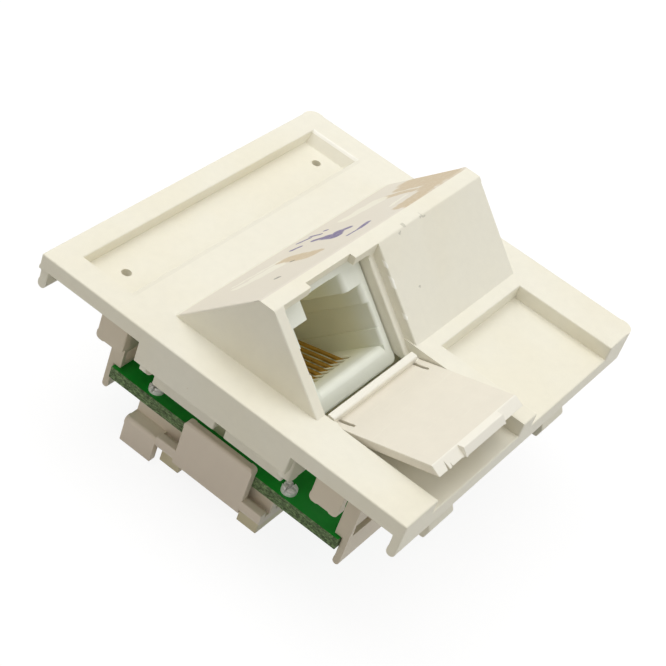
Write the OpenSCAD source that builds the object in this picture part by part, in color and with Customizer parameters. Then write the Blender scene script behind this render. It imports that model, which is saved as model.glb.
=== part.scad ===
// Square data outlet insert. A moulded face plate carries a roof-shaped wedge with one
// slanted modular port behind a hinged dust door, and a blank half beside it. A circuit
// board clips to legs under the plate, and a rear carrier with two termination strips
// clips to the board. All lengths are millimetres. X runs along the ridge, Y from the
// front edge to the back edge, Z up out of the face, and the part rests on its rear.

/* [Face plate] */
// Width of the plate along the ridge
plate_w = 50; // [48:0.5:56]
// Depth of the plate from front edge to back edge
plate_d = 50; // [48:0.5:56]
// Thickness of the plate
plate_t = 2; // [1.7:0.1:2.6]
// Radius of the two right-hand corners in plan
corner_r = 1.4; // [0.5:0.1:3]
// Reach of the front and back lips below the face
lip_drop = 4.7; // [4:0.1:6]
// Thickness of the lips
lip_t = 1.1; // [0.8:0.1:1.4]
// Radius of the lips' lower right-hand corner
lip_end_r = 2.4; // [0.5:0.1:2.6]
// Set-back of the back lip's left end from the plate's side
back_lip_inset = 0.4; // [0:0.1:2]

/* [Wedge] */
// Width of the wedge along the ridge
wedge_w = 40.8; // [39.6:0.2:42]
// Distance from the plate's middle to the wedge's front foot
wedge_front = 9.9; // [9.4:0.1:10.4]
// Width of the flat crest
crest_w = 2.1; // [1.6:0.1:3]
// Radius of the crest's two long edges
crest_r = 0.4; // [0.1:0.05:0.8]
// Thickness of the wedge's side walls
side_wall = 1.6; // [1.2:0.1:1.8]
// Thickness of the sloping roof
roof_wall = 1.2; // [1:0.1:1.4]
// Gap between the jack and the sloping roof over it
roof_gap = 0.43; // [0.2:0.01:0.6]
// Distance from the plate's middle to the edge of the blank half
blank_edge = 1.25; // [1:0.05:1.4]
// Width of the seat for the door's right edge
seat_w = 1.03; // [0.8:0.05:1.2]
// Gap between the closed door and that seat
seat_gap = 0.14; // [0.08:0.02:0.3]
// Thickness of the wall between port bay and blank half
mullion_t = 1.6; // [1.2:0.1:2]
// Width of the finger notch in the ridge
notch_w = 8.3; // [6:0.1:12]
// Depth of the finger notch into the ridge
notch_d = 0.8; // [0.3:0.1:1.2]

/* [Recesses] */
// Depth of the two door recesses
recess_depth = 1.9; // [1.85:0.05:2.2]
// Thickness of the floor under the door recesses
recess_floor = 1; // [0.8:0.1:1.4]
// Set-back of a recess's outer side from the port bay's side
recess_side = 0.2; // [0.1:0.05:0.5]
// Width of the divider between the recesses
divider_w = 2.88; // [2.6:0.04:3]
// Width of the label recess
label_w = 43.1; // [38:0.1:46]
// Depth of the label recess along the plate
label_d = 7; // [5:0.1:9]
// Distance from the plate's middle to the label recess's back wall
label_back = 22; // [21:0.1:22.6]
// Depth of the label recess into the plate
label_depth = 1.5; // [1:0.1:1.7]
// Thickness of the floor under the label recess
label_floor = 1; // [0.6:0.1:1.6]
// Length of the soft ramp at the label recess's right end
label_ramp = 1.3; // [0.4:0.1:2.5]
// Distance between the two label holes
label_hole_pitch = 36; // [30:0.5:38]
// Diameter of the label holes
label_hole_d = 1.2; // [0.8:0.1:2]

/* [Underside] */
// Thickness of the side skirts
skirt_t = 1.2; // [0.9:0.1:1.6]
// Reach of the side skirts below the face
skirt_drop = 4.65; // [4:0.05:6]
// Length of the side skirts along the plate's sides
skirt_l = 21; // [18:0.5:23]
// Set-back of the cross ribs' outer end from the plate's sides
rib_inset = 1; // [0.6:0.1:1.1]
// Reach of the cross ribs below the face
rib_drop = 7.4; // [6:0.1:8.5]
// Radius of the cross ribs' lower outer corner
rib_r = 2.2; // [0.5:0.1:2.6]
// Radius of the cross ribs' upright outer edge
rib_edge_r = 1; // [0.4:0.1:1.1]
// Reach of the bay's side walls below the face
bay_drop = 10.6; // [9:0.1:11.4]
// Set-back of the corner tabs from the plate's sides
tab_inset = 1.9; // [1.4:0.1:2.4]
// Width of the corner tabs
tab_w = 3.8; // [3:0.1:5]
// Distance from the plate's middle to a corner tab's outer edge
tab_reach = 17; // [16:0.1:18]
// Reach of the corner tabs below the face
tab_drop = 7.1; // [5:0.1:9]
// Thickness of the corner tabs
tab_t = 1.2; // [0.9:0.1:1.5]
// Distance between the snap tongues' middles
tongue_pitch = 24.6; // [20:0.2:30]
// Width of a snap tongue
tongue_w = 5; // [3:0.1:7]
// Thickness of a snap tongue
tongue_t = 1; // [0.8:0.1:1.4]
// Reach of the snap tongues below the face
tongue_drop = 10; // [8:0.1:12]
// Length of each board leg along the ridge
leg_l = 9.8; // [7:0.1:12]
// Distance from the plate's middle to a leg's outer end
leg_reach = 18.3; // [17:0.1:18.6]
// Reach of the legs below the board's top face
leg_tip = 3.8; // [3.2:0.1:5]
// Thickness of the legs above the board
leg_t = 1.8; // [1.5:0.1:2.2]
// Thickness of the legs beside the board
leg_thin = 0.85; // [0.7:0.05:1.1]

/* [Door] */
// Thickness of the dust door
door_t = 1.03; // [0.9:0.01:1.1]
// Gap between the door and the walls beside it
door_gap = 0.2; // [0.1:0.05:0.3]
// Depth of the closed door's face below the slope
door_flush = 0.03; // [0:0.01:0.06]
// Gap between the closed door's end and the ridge
tip_gap = 0.15; // [0.1:0.01:0.3]
// Gap behind the door's finger lip in the finger notch
nail_gap = 0.36; // [0.3:0.02:0.5]
// Gap on each side of the finger lip in the finger notch
grip_play = 0.15; // [0.1:0.01:0.3]
// Distance of the hinge axis below the wedge's foot, along the slope
hinge_drop = 1.6; // [1.5:0.02:1.7]
// Angle of the open door above the plate
open_tilt = 17.7; // [16:0.1:24]
// Width of the sill bar along the door's hinge edge
bar_w = 1.03; // [0.8:0.01:1.1]
// Distance from the hinge axis to the edge that stops the open door
stop_reach = 1.03; // [1:0.01:1.2]
// Diameter of the hinge pins
hinge_pin_d = 1; // [0.8:0.05:1]
// Clearance all round a hinge pin
hinge_play = 0.05; // [0.02:0.01:0.1]
// Length of a hinge pin beyond the door's edge
hinge_pin_l = 1.1; // [0.8:0.05:1.2]
// Width of the two snap slots in the door
slot_w = 0.42; // [0.3:0.02:0.6]
// Distance from the hinge axis to a snap slot's end
slot_reach = 2.5; // [2:0.1:4]
// Width of the arm outside each snap slot
slot_arm = 1.05; // [0.8:0.05:1.5]

/* [Jack] */
// Width of the jack
jack_w = 14.6; // [14:0.1:14.8]
// Height of the jack up the slope
jack_h = 13.35; // [13.2:0.05:13.4]
// Length of the jack along its own axis
jack_l = 13.2; // [13:0.1:13.4]
// Depth of the jack's front behind the slope
jack_set = 2.5; // [2.4:0.05:2.8]
// Distance of the jack's lower edge below the wedge's foot, along the slope
jack_low = 1.05; // [0.9:0.05:1.2]
// Gap between the jack and the wall beside it
jack_gap = 0.17; // [0.1:0.01:0.4]
// Width of the plug opening
plug_w = 11.9; // [11.7:0.1:12.4]
// Height of the floor below the plug opening
plug_floor = 2.6; // [2.4:0.1:2.8]
// Height of the plug opening's top
plug_top = 10; // [9.8:0.1:10.2]
// Height of the two side ledges above the floor
ledge_h = 2; // [1.6:0.1:2.2]
// Height of the side grooves above the ledges
groove_h = 3.1; // [2.8:0.1:3.4]
// Depth of the side grooves
groove = 0.4; // [0.3:0.05:0.5]
// Radius of the opening's rounded front edges
lead_r = 0.7; // [0.5:0.05:0.75]
// Depth of the plug opening
plug_depth = 12.2; // [11.8:0.1:12.6]
// Width of the latch slot
latch_w = 6.9; // [6.2:0.1:7.4]
// Height of the latch slot's top
latch_top = 12.3; // [11.4:0.1:12.4]
// Pitch of the contacts
contact_pitch = 1.016; // [0.98:0.002:1.06]
// Width of a contact wire
contact_w = 0.46; // [0.3:0.02:0.5]
// Thickness of a contact wire
contact_t = 0.3; // [0.24:0.02:0.36]
// Depth of the contacts' tips in the opening
tip_depth = 3.65; // [3.2:0.05:4]
// Height of the contacts where they leave through the back
contact_rise = 6.5; // [6:0.1:7]
// Distance from the jack's front to the start of its feet, along its axis
foot_start = 8; // [7:0.1:9]
// Height on the jack's back where its feet end
foot_rise = 7; // [5:0.1:8]
// Thickness of the jack's two side feet
foot_t = 1.5; // [1.4:0.1:1.8]
// Diameter of the pegs under the feet
peg_d = 1.3; // [1:0.1:1.4]

/* [Board] */
// Width of the board along the ridge
board_w = 37.6; // [37:0.2:38]
// Depth of the board
board_d = 33.2; // [32:0.2:34]
// Thickness of the board
board_t = 1.6; // [1.2:0.1:2]
// Distance from the face to the board's top
board_drop = 13.9; // [13.5:0.1:15]
// Clearance round the board and in its holes
board_play = 0.08; // [0.05:0.01:0.15]
// Diameter of the split pins
split_pin_d = 1.1; // [0.9:0.1:1.3]
// Diameter of the split pins' heads
split_head_d = 1.9; // [1.6:0.1:2.2]
// Height of the split pins' heads
split_head_h = 0.8; // [0.5:0.1:1.2]
// Width of the slits that cross in the split pins' heads
split_w = 0.3; // [0.2:0.05:0.4]
// Distance from the middle to the back pair of split pins
pin_back = 10.9; // [9:0.1:11.2]

/* [Rear carrier] */
// Depth of the carrier and its strips behind the board
carrier_h = 5.9; // [5.4:0.1:7]
// Thickness of the carrier's walls
carrier_t = 1.1; // [0.9:0.1:1.2]
// Distance from the carrier's floor to the plane it rests on
floor_lift = 2.3; // [1.6:0.1:2.4]
// Gap between a spring finger and the board's edge
finger_gap = 0.1; // [0.06:0.02:0.2]
// Width of the slot between a spring finger and the carrier's wall
channel_w = 0.9; // [0.8:0.1:1.3]
// Width of a spring finger
finger_w = 9.8; // [8:0.1:11]
// Rise of a spring finger above the board's top
finger_rise = 1.5; // [1.2:0.1:2]
// Width of a spring finger's catch
catch_w = 5.2; // [3:0.1:8]
// Overlap of a spring finger's catch on the board
catch_grip = 0.4; // [0.2:0.05:0.6]
// Distance from the middle to the carrier's back end
carrier_back = 12.3; // [12:0.1:14]
// Reach of the spring channels past the strips' ends
channel_end = 0.5; // [0.4:0.1:0.9]
// Thickness of the ears in front of the carrier that the front pins go through
ear_t = 0.5; // [0.4:0.1:1]
// Rise of the back brackets above the plane they rest on
bracket_h = 3.7; // [3:0.1:4.4]

/* [Termination strips] */
// Width of a termination strip across its wires' ends
strip_w = 3.6; // [3.4:0.1:3.8]
// Pitch of the forked blades
blade_pitch = 3.6; // [3.5:0.05:3.8]
// Width of a forked blade
blade_w = 2.6; // [2.2:0.1:2.8]
// Thickness of a forked blade
blade_t = 0.5; // [0.4:0.05:0.6]
// Width of the wire slots
wire_slot = 1; // [0.7:0.1:1.3]
// Reach of a strip's two end feet outward from its stem
strip_foot = 1.9; // [1.4:0.1:2]
// Length of those feet along the strip
strip_foot_l = 2.8; // [2:0.1:4]

/* [Hidden] */
$fn = 48;

root2 = sqrt(2);
cut = 1;
contacts = 8;
blades = 4;
fit = 0.01;

// Heights, measured from the plate's face
board_top = -board_drop;
board_bottom = board_top - board_t;
rest_z = board_bottom - carrier_h;
floor_z = rest_z + floor_lift;

// Wedge, as high as the jack under its roof asks
wedge_h = ((jack_h - jack_low + roof_gap + roof_wall) * root2 - crest_w) / 2;
crest_front = -wedge_front + wedge_h;
crest_back = crest_front + crest_w;
wedge_back = crest_back + wedge_h;
roof_back = wedge_back - roof_wall * root2;
bay_back = roof_back + plate_t;
crest_under = wedge_h - roof_wall;
bay_left = -wedge_w / 2 + side_wall;
bay_right = -blank_edge - seat_w;
bay_outer = wedge_w / 2;
recess_reach = recess_side - bay_left;

// Door and hinge, drawn open
hinge_depth = door_flush + door_t / 2;
seat_depth = door_flush + door_t + seat_gap;
hinge_y = slope_y(-hinge_drop, hinge_depth);
hinge_z = slope_z(-hinge_drop, hinge_depth);
door_left = bay_left + door_gap;
door_right = -divider_w / 2 - door_gap;
door_l = (crest_front - tip_gap - hinge_y) * root2;
grip_w = notch_w - 2 * grip_play;
grip_in = (notch_d + tip_gap - nail_gap) * root2;
grip_out = (wedge_h - hinge_z) * root2 - door_l - door_t;
// Knocks in the free edge: place from the left side, half width and depth
door_nicks = [[1.8, 0.3, 0.8], [2.5, 0.16, 0.4]];
trough_front = hinge_y - stop_reach;
trough_back = slope_y(-hinge_drop, seat_depth);
lug_wall = 0.85;
lug_r = hinge_pin_d / 2 + hinge_play + lug_wall;
lug_drop = lug_r - hinge_z;
lug_front = hinge_y - lug_r;

// Jack
jack_right = bay_right - jack_gap;
jack_x = jack_right - jack_w / 2;
jack_y = slope_y(-jack_low, jack_set);
jack_z = slope_z(-jack_low, jack_set);
ledge_x = plug_w / 2 + groove / 2;
groove_x = plug_w / 2 + groove;
tail_rows = [1.9, 3.7];
tip_sink = 0.6;
knee_run = 8;
tail_end = 0.6;
tail_d = norm([contact_w, contact_t]);
foot_front = jack_point(foot_start, 0)[0];
foot_back = jack_point(jack_l, foot_rise)[0];
peg_y = row_place(blades - 1 / 2, blades, blade_pitch);
peg_x = jack_w / 2 - foot_t / 2;

// Legs and rear parts
leg_inner = board_d / 2 + board_play;
leg_outer = leg_inner + leg_thin;
finger_reach = board_w / 2 + finger_gap + carrier_t;
wall_outer = finger_reach - carrier_t - channel_w;
wall_inner = wall_outer - carrier_t;
strip_outer = wall_inner - board_play;
strip_x = strip_outer - strip_w / 2;
strip_l = blades * blade_pitch;
carrier_front = strip_l / 2 + channel_end;
bracket_start = carrier_front;
shoulder_drop = 0.7;
blade_shoulder = board_bottom - shoulder_drop;
blade_stub = 0.8;
pin_x = (wall_outer + wall_inner) / 2;
pin_l = board_t + ear_t;
ear_wall = 0.35;
ear_r = split_pin_d / 2 + ear_wall;
pin_front = carrier_front + ear_r;
pin_y = [-pin_front, pin_back];

ivory = [0.93, 0.91, 0.84];
jack_white = [0.86, 0.89, 0.84];
gold = [0.75, 0.55, 0.2];
board_green = [0.05, 0.35, 0.15];
rear_white = [0.88, 0.85, 0.8];
strip_cream = [0.85, 0.8, 0.62];
bright_tin = [0.75, 0.75, 0.74];

// Point on the 45 degree slope: up from the wedge's foot, and in behind the slope
function slope_y(up, inward) = -wedge_front + (up + inward) / root2;
function slope_z(up, inward) = (up - inward) / root2;

// Point in the jack's side view, by its depth from the front and height from the base
function jack_point(depth, height) =
    [jack_y + (depth + height) / root2, jack_z + (height - depth) / root2];

// Place on the row of contacts or blades, counted from 1 and centred on zero
function row_place(i, count, pitch) = (i - (count + 1) / 2) * pitch;

// Middle of a contact wire across the jack, and where its tail turns down
function contact_x(i) = jack_x + row_place(i, contacts, contact_pitch);
function tail_bend(i) = jack_point(jack_l + tail_rows[i % 2], contact_rise);

// Helpers

module from_rest() {
    translate([0, 0, -rest_z]) children();
}

module along_x(x0, x1) {
    translate([x0, 0, 0]) rotate([90, 0, 90]) linear_extrude(x1 - x0) children();
}

module along_y(y0, y1) {
    translate([0, y1, 0]) rotate([90, 0, 0]) linear_extrude(y1 - y0) children();
}

module both_sides() {
    children();
    mirror([1, 0, 0]) children();
}

module both_ends() {
    children();
    mirror([0, 1, 0]) children();
}

module block(x, y, z) {
    translate([x[0], y[0], z[0]]) cube([x[1] - x[0], y[1] - y[0], z[1] - z[0]]);
}

// What a fillet of radius r removes from a square corner at the origin that points to +x +y
module corner_waste(r) {
    difference() {
        translate([-r, -r]) square(r + cut);
        translate([-r, -r]) circle(r);
    }
}

// Bent strip of even thickness along a list of points
module bent_strip(points, thick) {
    for (i = [0:len(points) - 2]) {
        run = points[i + 1] - points[i];
        translate(points[i]) rotate(atan2(run[1], run[0]))
            translate([0, -thick / 2]) square([norm(run), thick]);
    }
    for (i = [1:len(points) - 2]) translate(points[i]) circle(d = thick);
}

// Face plate

module plate_outline() {
    difference() {
        translate([-plate_w / 2, -plate_d / 2]) square([plate_w, plate_d]);
        for (side = [0, 1]) mirror([0, side])
            translate([plate_w / 2, plate_d / 2]) corner_waste(corner_r);
    }
}

module lip(inset) {
    difference() {
        along_x(-plate_w / 2 + inset, plate_w / 2) {
            translate([-plate_d / 2, -lip_drop + lip_t / 2]) square([lip_t, lip_drop - lip_t / 2]);
            translate([-plate_d / 2 + lip_t / 2, -lip_drop + lip_t / 2]) circle(d = lip_t);
        }
        translate([plate_w / 2, 0, -lip_drop]) along_y(-plate_d / 2 - cut, -plate_d / 2 + lip_t + cut)
            mirror([0, 1]) corner_waste(lip_end_r);
        translate([plate_w / 2, -plate_d / 2, -lip_drop - cut]) mirror([0, 1, 0])
            linear_extrude(lip_drop + 2 * cut) corner_waste(corner_r);
    }
}

module wedge_outline() {
    // length from a crest corner to where its arc starts
    reach = crest_r * tan(22.5);
    polygon([
        [-wedge_front, 0],
        [crest_front - reach / root2, wedge_h - reach / root2],
        [crest_front + reach, wedge_h],
        [crest_back - reach, wedge_h],
        [crest_back + reach / root2, wedge_h - reach / root2],
        [wedge_back, 0],
        [wedge_back, -plate_t],
        [-wedge_front, -plate_t]]);
    for (y = [crest_front + reach, crest_back - reach])
        translate([y, wedge_h - crest_r]) circle(crest_r);
}

// Open space of the port bay, with the trough that the door's hinge edge turns in
module port_bay() {
    polygon([
        [trough_front, -bay_drop],
        [trough_front, cut],
        [crest_front, wedge_h + 2 * cut],
        [crest_front, crest_under],
        [roof_back - crest_under, crest_under],
        [bay_back, -plate_t],
        [bay_back, -bay_drop]]);
}

// Hollow behind the blank half
module blank_bay() {
    front_wall = roof_wall * root2;
    polygon([
        [-wedge_front + front_wall, -bay_drop],
        [-wedge_front + front_wall, 0],
        [crest_under - wedge_front + front_wall, crest_under],
        [roof_back - crest_under, crest_under],
        [bay_back, -plate_t],
        [bay_back, -bay_drop]]);
}

// Rebate that the door's right edge lies in, above the plate
module seat_rebate() {
    polygon([
        [-wedge_front - cut, 0],
        [-wedge_front - cut, cut],
        [crest_front, wedge_h + 2 * cut],
        [crest_front, crest_front - slope_y(0, seat_depth) + slope_z(0, seat_depth)],
        [-wedge_front + seat_depth * root2, 0]]);
}

// Trough under that rebate, for the door's right hinge arm
module seat_trough() {
    polygon([
        [trough_front, -lug_drop - cut],
        [trough_front, cut],
        [-wedge_front + seat_depth * root2, cut],
        [-wedge_front + seat_depth * root2, 0],
        [trough_back, slope_z(-hinge_drop, seat_depth)],
        [trough_back, -lug_drop - cut]]);
}

module door_recess() {
    block([divider_w / 2, recess_reach], [-plate_d / 2 - cut, trough_front], [-recess_depth, cut]);
}

module label_recess() {
    y = [label_back - label_d, label_back];
    along_y(y[0], y[1]) polygon([
        [-label_w / 2, cut],
        [-label_w / 2, -label_depth],
        [label_w / 2 - label_ramp, -label_depth],
        [label_w / 2, 0],
        [label_w / 2, cut]]);
    both_sides() translate([label_hole_pitch / 2, (y[0] + y[1]) / 2, -label_depth - label_floor - cut])
        cylinder(d = label_hole_d, h = label_floor + 2 * cut);
}

module skirt() {
    block([-plate_w / 2, -plate_w / 2 + skirt_t], [-skirt_l / 2, skirt_l / 2], [-skirt_drop, -plate_t]);
    both_ends() difference() {
        block([-plate_w / 2 + rib_inset, -bay_outer + cut / 2], [skirt_l / 2 - skirt_t, skirt_l / 2],
            [-rib_drop, -plate_t]);
        translate([-plate_w / 2 + rib_inset, 0, -rib_drop])
            along_y(skirt_l / 2 - skirt_t - cut, skirt_l / 2 + cut)
            rotate(180) corner_waste(rib_r);
        translate([-plate_w / 2 + rib_inset, skirt_l / 2, -rib_drop - cut])
            linear_extrude(rib_drop + cut) mirror([1, 0]) corner_waste(rib_edge_r);
    }
}

module corner_tab() {
    y = [tab_reach - tab_w, tab_reach];
    x = [-plate_w / 2 + tab_inset, -plate_w / 2 + tab_inset + tab_t];
    difference() {
        block(x, y, [-tab_drop, -plate_t]);
        along_x(x[0] - cut, x[1] + cut) {
            translate([y[1], -tab_drop]) mirror([0, 1]) corner_waste(tab_t / 2);
            translate([y[0], -tab_drop]) rotate(180) corner_waste(tab_t / 2);
        }
    }
}

// Tongue behind a lip, with a barb that faces the lip
module snap_tongue() {
    lip_gap = 0.1;
    barb_out = 0.5;
    barb_rise = 1.4;
    barb_top = 2.4;
    face = -plate_d / 2 + lip_t + lip_gap;
    along_x(tongue_pitch / 2 - tongue_w / 2, tongue_pitch / 2 + tongue_w / 2) polygon([
        [face, -plate_t],
        [face, -tongue_drop + barb_top],
        [face - barb_out, -tongue_drop + barb_rise],
        [face - lip_gap, -tongue_drop],
        [face + tongue_t, -tongue_drop],
        [face + tongue_t, -plate_t]]);
}

// Leg that the board clips between, with its shoulder on the board's top face
module board_leg() {
    tip = leg_thin / 2;
    window = [3.6, 1.6];
    window_end = leg_reach - 0.7;
    window_floor = board_top + 0.6;
    barb_start = 1.5;
    barb_l = 5.3;
    barb_out = 0.45;
    barb_face = 0.3;
    barb_h = 1.4;
    x = [leg_reach - leg_l, leg_reach];
    difference() {
        along_x(x[0], x[1]) {
            translate([-leg_outer, board_top]) square([leg_t, -board_top - plate_t]);
            translate([-leg_outer, board_top - leg_tip + tip]) square([leg_thin, leg_tip - tip + cut]);
            translate([-leg_outer + tip, board_top - leg_tip + tip]) circle(tip);
        }
        block([window_end - window[0], window_end], [-leg_outer - cut, -leg_outer + leg_t + cut],
            [window_floor, window_floor + window[1]]);
    }
    // barb under the board
    along_x(x[0] + barb_start, x[0] + barb_start + barb_l) polygon([
        [-leg_inner - leg_thin / 2, board_bottom],
        [-leg_inner + barb_out, board_bottom],
        [-leg_inner + barb_out, board_bottom - barb_face],
        [-leg_inner, board_bottom - barb_h],
        [-leg_inner - leg_thin / 2, board_bottom - barb_h]]);
}

// Side wall of the bay below the plate, with a notch in its lower edge
module bay_wall() {
    notch = [-0.3, 1.2];
    notch_h = 1.4;
    step_l = 2;
    difference() {
        block([-bay_outer, bay_left], [-skirt_l / 2, bay_back], [-bay_drop, -plate_t]);
        block([-bay_outer - cut, bay_left + cut], notch, [-bay_drop - cut, -bay_drop + notch_h]);
        block([-bay_outer - cut, bay_left + cut], [-skirt_l / 2 - cut, -skirt_l / 2 + step_l],
            [-bay_drop - cut, -rib_drop]);
    }
}

module hinge_lug(x) {
    along_x(x[0], x[1]) {
        translate([lug_front, hinge_z]) square([-wedge_front - lug_front, -plate_t / 2 - hinge_z]);
        translate([hinge_y, -lug_drop]) square([-wedge_front - hinge_y, lug_drop - plate_t / 2]);
        translate([hinge_y, hinge_z]) circle(lug_r);
    }
}

module hinge_bore(x0, x1) {
    translate([x0, hinge_y, hinge_z]) rotate([0, 90, 0])
        cylinder(d = hinge_pin_d + 2 * hinge_play, h = x1 - x0);
}

module face_plate() color(ivory) from_rest() {
    bore_l = hinge_pin_l;
    floor_top = -plate_t + cut / 10;
    difference() {
        union() {
            translate([0, 0, -plate_t]) linear_extrude(plate_t) plate_outline();
            lip(0);
            mirror([0, 1, 0]) lip(back_lip_inset);
            along_x(-wedge_w / 2, wedge_w / 2) wedge_outline();
            // floors under the recesses
            both_sides() block([divider_w / 2 - recess_floor, recess_reach + recess_floor],
                [-plate_d / 2 + lip_t / 2, trough_front], [-recess_depth - recess_floor, floor_top]);
            block([-label_w / 2 - label_floor, label_w / 2 + label_floor],
                [label_back - label_d - label_floor, label_back + label_floor],
                [-label_depth - label_floor, floor_top]);
            both_sides() {
                skirt();
                both_ends() corner_tab();
                both_ends() snap_tongue();
                both_ends() board_leg();
                bay_wall();
            }
            hinge_lug([-bay_outer, bay_left]);
            hinge_lug([-divider_w / 2, divider_w / 2]);
        }
        along_x(bay_left, bay_right) port_bay();
        along_x(bay_right - cut / 2, -blank_edge) seat_rebate();
        along_x(bay_right - cut / 2, -divider_w / 2) seat_trough();
        along_x(bay_right + mullion_t, -bay_left) blank_bay();
        both_sides() door_recess();
        label_recess();
        hinge_bore(bay_left - bore_l, bay_left + cut);
        hinge_bore(-divider_w / 2 - cut, -divider_w / 2 + bore_l);
        block([jack_x - notch_w / 2, jack_x + notch_w / 2],
            [crest_front - cut, crest_front + notch_d], [crest_under - cut, wedge_h + cut]);
    }
}

// Dust door, drawn open about its hinge axis

module snap_slot(x) {
    start = -hinge_y - wedge_front - bar_w;
    block([x - slot_w / 2, x + slot_w / 2], [-slot_reach + slot_w / 2, start], [-door_t, door_t]);
    translate([x, -slot_reach + slot_w / 2, -door_t]) cylinder(d = slot_w, h = 2 * door_t);
}

// Knock in the door's free edge
module edge_nick(x, wide, deep) {
    edge = -door_l - door_t / 2;
    translate([x, edge, -door_t]) linear_extrude(2 * door_t)
        polygon([[-wide, -wide], [wide, -wide], [0, deep]]);
}

module door_panel() {
    difference() {
        union() {
            along_x(door_left, door_right) {
                polygon([
                    [0, door_t / 2],
                    [0, -door_t / 2],
                    [-door_l - door_t / 2, -door_t / 2],
                    [-door_l + door_t / 2, door_t / 2]]);
                circle(d = door_t);
            }
            // finger lip, which lies in the notch of the ridge when the door is shut
            along_x(jack_x - grip_w / 2, jack_x + grip_w / 2) polygon([
                [-door_l + door_t, door_t / 2],
                [-door_l + door_t / 2 - grip_in, door_t / 2],
                [-door_l - door_t / 2 - grip_out, -door_t / 2],
                [-door_l + door_t, -door_t / 2]]);
        }
        snap_slot(door_left + slot_arm + slot_w / 2);
        snap_slot(door_right - slot_arm - slot_w / 2);
        for (nick = door_nicks) edge_nick(door_left + nick[0], nick[1], nick[2]);
    }
}

// Bar whose top lies level with the plate when the door is open
module sill_bar() {
    front = -wedge_front - bar_w - hinge_y;
    back = -wedge_front - hinge_y - door_gap / 2;
    edge_r = 0.25;
    heel = 0.7;
    along_x(door_left, bay_right - door_gap) difference() {
        polygon([
            [front, 0],
            [front, -hinge_z],
            [back, -hinge_z],
            [back, -hinge_z - heel],
            [hinge_pin_d / 4, 0]]);
        translate([front, -hinge_z]) mirror([1, 0]) corner_waste(edge_r);
    }
}

module hinge_pin(x0, x1) {
    translate([x0, 0, 0]) rotate([0, 90, 0]) cylinder(d = hinge_pin_d, h = x1 - x0);
}

module port_door() color(ivory) from_rest() translate([0, hinge_y, hinge_z]) {
    rotate([-open_tilt, 0, 0]) door_panel();
    sill_bar();
    hinge_pin(door_left - hinge_pin_l, door_left + slot_arm);
    hinge_pin(door_right - slot_arm, door_right + hinge_pin_l);
}

// Jack, in its own frame: x across, y along its axis from the front, z up the slope

module in_jack_frame() {
    translate([jack_x, jack_y, jack_z]) rotate([-45, 0, 0]) children();
}

module plug_opening() {
    latch_depth = 9.5;
    ledge_top = plug_floor + ledge_h;
    groove_top = ledge_top + groove_h;
    opening_step(ledge_x, plug_depth, [plug_floor, ledge_top + cut], groove);
    opening_step(groove_x, plug_depth, [ledge_top, groove_top], groove);
    opening_step(plug_w / 2, plug_depth, [groove_top - cut, plug_top], lead_r);
    opening_step(latch_w / 2, latch_depth, [plug_top - cut, latch_top], lead_r);
}

// One step of the opening's height, with rounded front edges on both sides
module opening_step(half, depth, z, r) {
    block([-half, half], [-cut, depth], z);
    both_sides() translate([half, 0, z[0]]) linear_extrude(z[1] - z[0])
        rotate(180) corner_waste(r);
}

module contact_comb() {
    comb_gap = 0.1;
    comb_start = tip_depth - tip_sink;
    comb_depth = 1;
    for (i = [1:contacts]) translate([row_place(i, contacts, contact_pitch), 0, 0]) {
        block([-contact_w / 2 - comb_gap, contact_w / 2 + comb_gap], [comb_start, plug_depth],
            [plug_floor - comb_depth, plug_floor + cut]);
        block([-contact_w / 2 - board_play, contact_w / 2 + board_play], [plug_depth - cut, jack_l + cut],
            [contact_rise - contact_t / 2, contact_rise + contact_t]);
    }
}

module jack_foot() {
    low = jack_point(jack_l, 0);
    along_x(peg_x - foot_t / 2, peg_x + foot_t / 2) polygon([
        [foot_front, board_top],
        [foot_back, board_top],
        [foot_back, low[1] + foot_back - low[0]],
        jack_point(jack_l - cut, cut),
        [foot_front, low[1] + low[0] - foot_front]]);
    translate([peg_x, peg_y, board_bottom]) cylinder(d = peg_d, h = board_t + cut);
}

// Room that the blades' stubs take above the board
module stub_rooms() {
    half = blade_t / 2 + board_play;
    both_sides() for (i = [1:blades]) translate([-strip_x, row_place(i, blades, blade_pitch), 0])
        block([-half, half], [-half, half], [board_top - cut, board_top + blade_stub + board_play]);
}

module jack_housing() color(jack_white) from_rest() {
    bar_r = 1;
    low_r = 0.4;
    in_jack_frame() difference() {
        block([-jack_w / 2, jack_w / 2], [0, jack_l], [0, jack_h]);
        plug_opening();
        contact_comb();
        along_x(-ledge_x, ledge_x)
            translate([0, plug_floor]) mirror([1, 0]) corner_waste(bar_r);
        along_x(-jack_w / 2 - cut, jack_w / 2 + cut) rotate(180) corner_waste(low_r);
        both_sides() along_y(-cut, foot_start - bar_r)
            translate([jack_w / 2, 0]) mirror([0, 1]) corner_waste(bar_r);
    }
    difference() {
        translate([jack_x, 0, 0]) both_sides() jack_foot();
        stub_rooms();
    }
}

// Contact wire: tip in the comb, slope, run out through the back, tail down to the board
module jack_contact(i) color(gold) from_rest() {
    out = tail_bend(i);
    translate([contact_x(i) - contact_w / 2, 0, 0]) along_x(0, contact_w)
        bent_strip([
            jack_point(tip_depth, plug_floor - tip_sink),
            jack_point(tip_depth + knee_run, contact_rise),
            out,
            [out[0], board_bottom - tail_end]], contact_t);
}

// Circuit board

module board_hole(x, y, d) {
    translate([x, y, board_bottom - cut]) cylinder(d = d + 2 * board_play, h = board_t + 2 * cut);
}

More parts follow.
